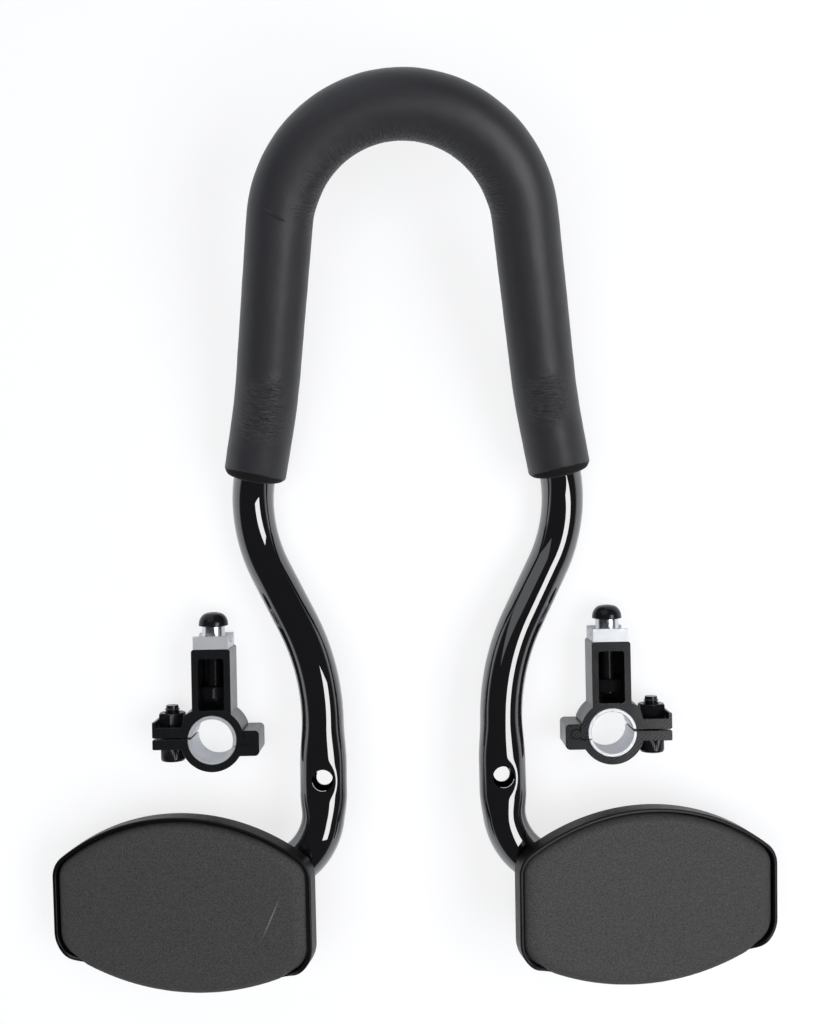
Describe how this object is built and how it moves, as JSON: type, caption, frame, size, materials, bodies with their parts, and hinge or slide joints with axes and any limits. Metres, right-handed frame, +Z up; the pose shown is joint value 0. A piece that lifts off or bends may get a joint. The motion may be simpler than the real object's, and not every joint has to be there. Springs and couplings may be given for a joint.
{
  "type": "aero handlebar extension",
  "caption": "U-shaped bent tube with a foam grip, padded arm rests on its tube ends, and the split bar clamps that carry it on a bicycle handlebar.",
  "frame": {"origin": "on the floor under the middle of the laid-out part", "axes": "+Y forward to the grip, +X to the rider's right, +Z up"},
  "size_m": [0.3828, 0.4571, 0.1047],
  "materials": {
    "bar_paint": "high gloss black",
    "grip_foam": "matte closed-cell foam",
    "pad_foam": "matte fine-grained foam",
    "cup_plastic": "moulded black",
    "plug_plastic": "moulded black",
    "clamp_alloy": "black anodised",
    "bright_alloy": "plain turned",
    "black_steel": "black oxide"
  },
  "bodies": {
    "root": {"extension_bar": "bar_paint", "foam_grip": "grip_foam", "left_end_plug": "plug_plastic", "right_end_plug": "plug_plastic", "left_arm_cup": "cup_plastic", "right_arm_cup": "cup_plastic", "left_cup_screws": "black_steel", "right_cup_screws": "black_steel", "left_arm_pad": "pad_foam", "right_arm_pad": "pad_foam", "left_clamp_body": "clamp_alloy", "right_clamp_body": "clamp_alloy", "left_clamp_cap": "clamp_alloy", "right_clamp_cap": "clamp_alloy", "left_upper_shim": "bright_alloy", "right_upper_shim": "bright_alloy", "left_lower_shim": "bright_alloy", "right_lower_shim": "bright_alloy", "left_pinch_bolt": "black_steel", "right_pinch_bolt": "black_steel", "left_pinch_nut": "black_steel", "right_pinch_nut": "black_steel", "left_saddle_block": "bright_alloy", "right_saddle_block": "bright_alloy", "left_spacer_bush": "bright_alloy", "right_spacer_bush": "bright_alloy", "left_tower_bolt": "black_steel", "right_tower_bolt": "black_steel", "left_tower_nut": "black_steel", "right_tower_nut": "black_steel"}
  },
  "joints": []
}
